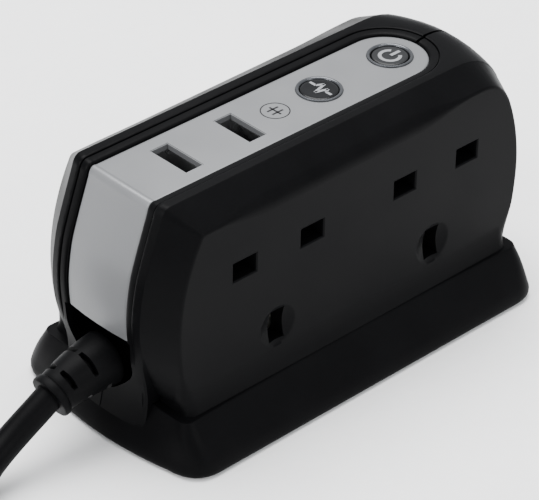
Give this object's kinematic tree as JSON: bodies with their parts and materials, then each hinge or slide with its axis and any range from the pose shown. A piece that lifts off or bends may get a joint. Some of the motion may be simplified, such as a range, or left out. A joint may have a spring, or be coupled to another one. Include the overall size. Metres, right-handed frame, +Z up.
{
  "type": "power strip",
  "caption": "Black upright power block with two British sockets on each long face, USB charging ports, a power button and a surge lamp on a silver top strip, and a lead with a fused plug.",
  "frame": {"origin": "on the floor plane, under the middle of the housing", "axes": "+Z up, +X along the housing away from the cord, -Y out of the front pair of sockets"},
  "size_m": [0.2664, 0.0975, 0.0696],
  "materials": {
    "shell": "satin",
    "silver": "satin",
    "button": "satin",
    "bezel": "satin",
    "lens": "gloss",
    "white_plastic": "matte",
    "steel": "satin",
    "board": "satin",
    "lamp": "gloss",
    "contact_plastic": "matte",
    "copper": "satin",
    "varistor": "satin",
    "brass": "satin",
    "rubber": "matte",
    "cord": "satin",
    "wire_brown": "satin",
    "wire_blue": "satin",
    "wire_green": "satin",
    "red_plastic": "satin"
  },
  "bodies": {
    "housing": {"front_shell": "shell", "rear_shell": "shell", "base_plate": "shell", "trim_strip": "silver", "button_bezel": "bezel", "surge_lens": "lens", "lens_bezel": "bezel", "power_switch": "white_plastic", "button_spring": "steel", "control_board": "board", "surge_lamp": "lamp", "usb_port_1": "steel", "usb_port_2": "steel", "usb_tongues": "contact_plastic", "usb_board": "board", "usb_transformer": "copper", "usb_capacitors": "contact_plastic", "surge_board": "board", "varistors": "varistor", "thermal_fuse": "white_plastic", "line_busbar": "brass", "neutral_busbar": "brass", "earth_busbar": "brass", "front_carrier": "white_plastic", "rear_carrier": "white_plastic", "spring_front_1": "steel", "spring_front_2": "steel", "spring_rear_1": "steel", "spring_rear_2": "steel", "cord_boot": "rubber", "cord_clamp": "contact_plastic", "clamp_screws": "steel", "case_screws": "steel", "rubber_feet": "rubber", "line_wire": "wire_brown", "neutral_wire": "wire_blue", "earth_wire": "wire_green", "cord_lead": "cord", "cord_coil": "cord", "cord_tail": "cord", "plug_body": "shell", "plug_boot": "rubber", "plug_pins": "brass", "plug_earth_pin": "brass"},
    "button": {"power_button": "button"},
    "fuse_drawer": {"fuse_carrier": "red_plastic", "plug_fuse": "white_plastic"},
    "cover_front_1": {"shutter_front_1": "contact_plastic"},
    "cover_front_2": {"shutter_front_2": "contact_plastic"},
    "cover_rear_1": {"shutter_rear_1": "contact_plastic"},
    "cover_rear_2": {"shutter_rear_2": "contact_plastic"}
  },
  "joints": [
    {"name": "power_press", "type": "slide", "parent": "housing", "child": "button", "axis": [0, 0, -1], "range_m": [0, 0.0018], "stiffness_N_per_m": 350, "deforming": ["button_spring"]},
    {"name": "cover_front_1_lift", "type": "slide", "parent": "housing", "child": "cover_front_1", "axis": [0, 0, 1], "range_m": [0, 0.0056], "stiffness_N_per_m": 90, "deforming": ["spring_front_1"]},
    {"name": "cover_front_2_lift", "type": "slide", "parent": "housing", "child": "cover_front_2", "axis": [0, 0, 1], "range_m": [0, 0.0056], "stiffness_N_per_m": 90, "deforming": ["spring_front_2"]},
    {"name": "cover_rear_1_lift", "type": "slide", "parent": "housing", "child": "cover_rear_1", "axis": [0, 0, 1], "range_m": [0, 0.0056], "stiffness_N_per_m": 90, "deforming": ["spring_rear_1"]},
    {"name": "cover_rear_2_lift", "type": "slide", "parent": "housing", "child": "cover_rear_2", "axis": [0, 0, 1], "range_m": [0, 0.0056], "stiffness_N_per_m": 90, "deforming": ["spring_rear_2"]},
    {"name": "fuse_drawer_pull", "type": "slide", "parent": "housing", "child": "fuse_drawer", "axis": [0, 0, 1], "range_m": [0, 0.0075]}
  ]
}
